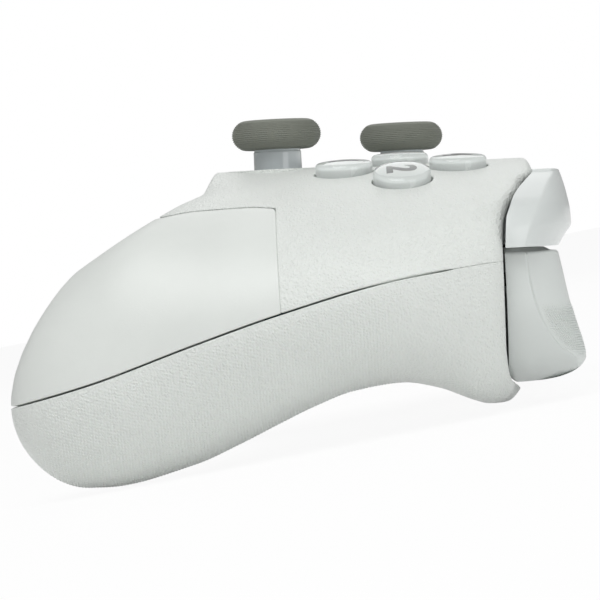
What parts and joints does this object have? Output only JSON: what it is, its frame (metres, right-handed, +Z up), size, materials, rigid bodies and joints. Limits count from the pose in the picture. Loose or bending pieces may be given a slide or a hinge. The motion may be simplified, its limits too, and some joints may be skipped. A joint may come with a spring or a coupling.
{
  "type": "gamepad controller",
  "caption": "Wireless gamepad with two textured grips, offset thumbsticks, domed face buttons, direction pad, bumpers and swinging hooked triggers.",
  "frame": {"origin": "middle of the footprint, on the table that the grips and front horns rest on", "axes": "+X to the player's right, +Y towards the triggers, +Z up; the face leans forward as the pad lies on a table"},
  "size_m": [0.1534, 0.1084, 0.0631],
  "materials": {
    "front_shell": "satin moulded",
    "left_grip_cover": "satin moulded",
    "right_grip_cover": "satin moulded",
    "rear_shell": "satin with a dotted grip texture",
    "bridge": "gloss",
    "inner_frame": "moulded",
    "main_board": "solder mask",
    "face_button_membrane": "silicone",
    "direction_pad_membrane": "silicone",
    "usb_socket": "stamped",
    "battery": "wrapped cell",
    "left_rumble_motor": "can",
    "right_rumble_motor": "can",
    "shell_screws": "plated",
    "trigger_pins": "ground",
    "trigger_springs": "spring wire",
    "left_stick_housing": "pressed can",
    "right_stick_housing": "pressed can",
    "left_stick_ring": "low friction",
    "right_stick_ring": "low friction",
    "face_button_1": "clear domed",
    "face_button_2": "clear domed",
    "face_button_3": "clear domed",
    "face_button_4": "clear domed",
    "minus_button": "satin",
    "plus_button": "satin",
    "capture_button": "satin",
    "home_button": "satin",
    "direction_pad_hub": "moulded",
    "direction_pad": "gloss",
    "right_stick_rocker": "moulded",
    "right_stick_pivot": "moulded",
    "right_stick_shaft": "pearl",
    "right_stick_cap": "ribbed",
    "left_stick_rocker": "moulded",
    "left_stick_pivot": "moulded",
    "left_stick_shaft": "pearl",
    "left_stick_cap": "ribbed",
    "right_bumper": "gloss",
    "right_trigger": "satin, dotted finger face",
    "right_rumble_weight": "sintered",
    "left_bumper": "gloss",
    "left_trigger": "satin, dotted finger face",
    "left_rumble_weight": "sintered"
  },
  "bodies": {
    "body": {"front_shell": "front_shell", "left_grip_cover": "left_grip_cover", "right_grip_cover": "right_grip_cover", "rear_shell": "rear_shell", "bridge": "bridge", "inner_frame": "inner_frame", "main_board": "main_board", "face_button_membrane": "face_button_membrane", "direction_pad_membrane": "direction_pad_membrane", "usb_socket": "usb_socket", "battery": "battery", "left_rumble_motor": "left_rumble_motor", "right_rumble_motor": "right_rumble_motor", "shell_screws": "shell_screws", "trigger_pins": "trigger_pins", "trigger_springs": "trigger_springs", "left_stick_housing": "left_stick_housing", "right_stick_housing": "right_stick_housing", "left_stick_ring": "left_stick_ring", "right_stick_ring": "right_stick_ring"},
    "face_button_1": {"face_button_1": "face_button_1"},
    "face_button_2": {"face_button_2": "face_button_2"},
    "face_button_3": {"face_button_3": "face_button_3"},
    "face_button_4": {"face_button_4": "face_button_4"},
    "minus_button": {"minus_button": "minus_button"},
    "plus_button": {"plus_button": "plus_button"},
    "capture_button": {"capture_button": "capture_button"},
    "home_button": {"home_button": "home_button"},
    "direction_pad_hub": {"direction_pad_hub": "direction_pad_hub"},
    "direction_pad": {"direction_pad": "direction_pad"},
    "right_stick_rocker": {"right_stick_rocker": "right_stick_rocker"},
    "right_stick_pivot": {"right_stick_pivot": "right_stick_pivot"},
    "right_stick": {"right_stick_shaft": "right_stick_shaft", "right_stick_cap": "right_stick_cap"},
    "left_stick_rocker": {"left_stick_rocker": "left_stick_rocker"},
    "left_stick_pivot": {"left_stick_pivot": "left_stick_pivot"},
    "left_stick": {"left_stick_shaft": "left_stick_shaft", "left_stick_cap": "left_stick_cap"},
    "right_bumper": {"right_bumper": "right_bumper"},
    "right_trigger": {"right_trigger": "right_trigger"},
    "right_rumble_weight": {"right_rumble_weight": "right_rumble_weight"},
    "left_bumper": {"left_bumper": "left_bumper"},
    "left_trigger": {"left_trigger": "left_trigger"},
    "left_rumble_weight": {"left_rumble_weight": "left_rumble_weight"}
  },
  "joints": [
    {"name": "face_button_1_press", "type": "slide", "parent": "body", "child": "face_button_1", "axis": [0, 0.1482, 0.989], "range_m": [-0.0013, 0], "stiffness_N_per_m": 350},
    {"name": "face_button_2_press", "type": "slide", "parent": "body", "child": "face_button_2", "axis": [0, 0.1482, 0.989], "range_m": [-0.0013, 0], "stiffness_N_per_m": 350},
    {"name": "face_button_3_press", "type": "slide", "parent": "body", "child": "face_button_3", "axis": [0, 0.1482, 0.989], "range_m": [-0.0013, 0], "stiffness_N_per_m": 350},
    {"name": "face_button_4_press", "type": "slide", "parent": "body", "child": "face_button_4", "axis": [0, 0.1482, 0.989], "range_m": [-0.0013, 0], "stiffness_N_per_m": 350},
    {"name": "minus_button_press", "type": "slide", "parent": "body", "child": "minus_button", "axis": [0, 0.1482, 0.989], "range_m": [-0.0004, 0], "stiffness_N_per_m": 800},
    {"name": "plus_button_press", "type": "slide", "parent": "body", "child": "plus_button", "axis": [0, 0.1482, 0.989], "range_m": [-0.0004, 0], "stiffness_N_per_m": 800},
    {"name": "capture_button_press", "type": "slide", "parent": "body", "child": "capture_button", "axis": [0, 0.1482, 0.989], "range_m": [-0.0004, 0], "stiffness_N_per_m": 800},
    {"name": "home_button_press", "type": "slide", "parent": "body", "child": "home_button", "axis": [0, 0.1482, 0.989], "range_m": [-0.0004, 0], "stiffness_N_per_m": 800},
    {"name": "direction_pad_tilt_front", "type": "hinge", "parent": "body", "child": "direction_pad_hub", "pos_m": [-0.02, 0.00211, 0.04765], "axis": [1, 0, 0], "range_deg": [-3, 3], "stiffness_Nm_per_rad": 0.12},
    {"name": "direction_pad_tilt_side", "type": "hinge", "parent": "direction_pad_hub", "child": "direction_pad", "pos_m": [-0.02, 0.00211, 0.04765], "axis": [0, 0.989, -0.1482], "range_deg": [-3, 3], "stiffness_Nm_per_rad": 0.12},
    {"name": "right_stick_tilt_front", "type": "hinge", "parent": "body", "child": "right_stick_rocker", "pos_m": [0.02, 0.00162, 0.04438], "axis": [1, 0, 0], "range_deg": [-16, 16], "stiffness_Nm_per_rad": 0.03},
    {"name": "right_stick_tilt_side", "type": "hinge", "parent": "right_stick_rocker", "child": "right_stick_pivot", "pos_m": [0.02, 0.00162, 0.04438], "axis": [0, 0.989, -0.1482], "range_deg": [-16, 16], "stiffness_Nm_per_rad": 0.03},
    {"name": "right_stick_click", "type": "slide", "parent": "right_stick_pivot", "child": "right_stick", "axis": [0, 0.1482, 0.989], "range_m": [-0.0004, 0], "stiffness_N_per_m": 3000},
    {"name": "left_stick_tilt_front", "type": "hinge", "parent": "body", "child": "left_stick_rocker", "pos_m": [-0.041, 0.02635, 0.04068], "axis": [1, 0, 0], "range_deg": [-16, 16], "stiffness_Nm_per_rad": 0.03},
    {"name": "left_stick_tilt_side", "type": "hinge", "parent": "left_stick_rocker", "child": "left_stick_pivot", "pos_m": [-0.041, 0.02635, 0.04068], "axis": [0, 0.989, -0.1482], "range_deg": [-16, 16], "stiffness_Nm_per_rad": 0.03},
    {"name": "left_stick_click", "type": "slide", "parent": "left_stick_pivot", "child": "left_stick", "axis": [0, 0.1482, 0.989], "range_m": [-0.0004, 0], "stiffness_N_per_m": 3000},
    {"name": "right_bumper_press", "type": "hinge", "parent": "body", "child": "right_bumper", "pos_m": [0.045, 0.04233, 0.0306], "axis": [1, 0, 0], "range_deg": [-2.5, 0], "stiffness_Nm_per_rad": 0.6},
    {"name": "right_trigger_pull", "type": "hinge", "parent": "body", "child": "right_trigger", "pos_m": [0.048, 0.04382, 0.02299], "axis": [1, 0, 0], "range_deg": [-17, 0], "stiffness_Nm_per_rad": 0.06},
    {"name": "right_rumble_spin", "type": "hinge", "parent": "body", "child": "right_rumble_weight", "pos_m": [0.054, -0.02648, 0.02079], "axis": [1, 0, 0], "continuous": true},
    {"name": "left_bumper_press", "type": "hinge", "parent": "body", "child": "left_bumper", "pos_m": [-0.045, 0.04233, 0.0306], "axis": [1, 0, 0], "range_deg": [-2.5, 0], "stiffness_Nm_per_rad": 0.6},
    {"name": "left_trigger_pull", "type": "hinge", "parent": "body", "child": "left_trigger", "pos_m": [-0.048, 0.04382, 0.02299], "axis": [1, 0, 0], "range_deg": [-17, 0], "stiffness_Nm_per_rad": 0.06},
    {"name": "left_rumble_spin", "type": "hinge", "parent": "body", "child": "left_rumble_weight", "pos_m": [-0.054, -0.02648, 0.02079], "axis": [1, 0, 0], "continuous": true}
  ]
}
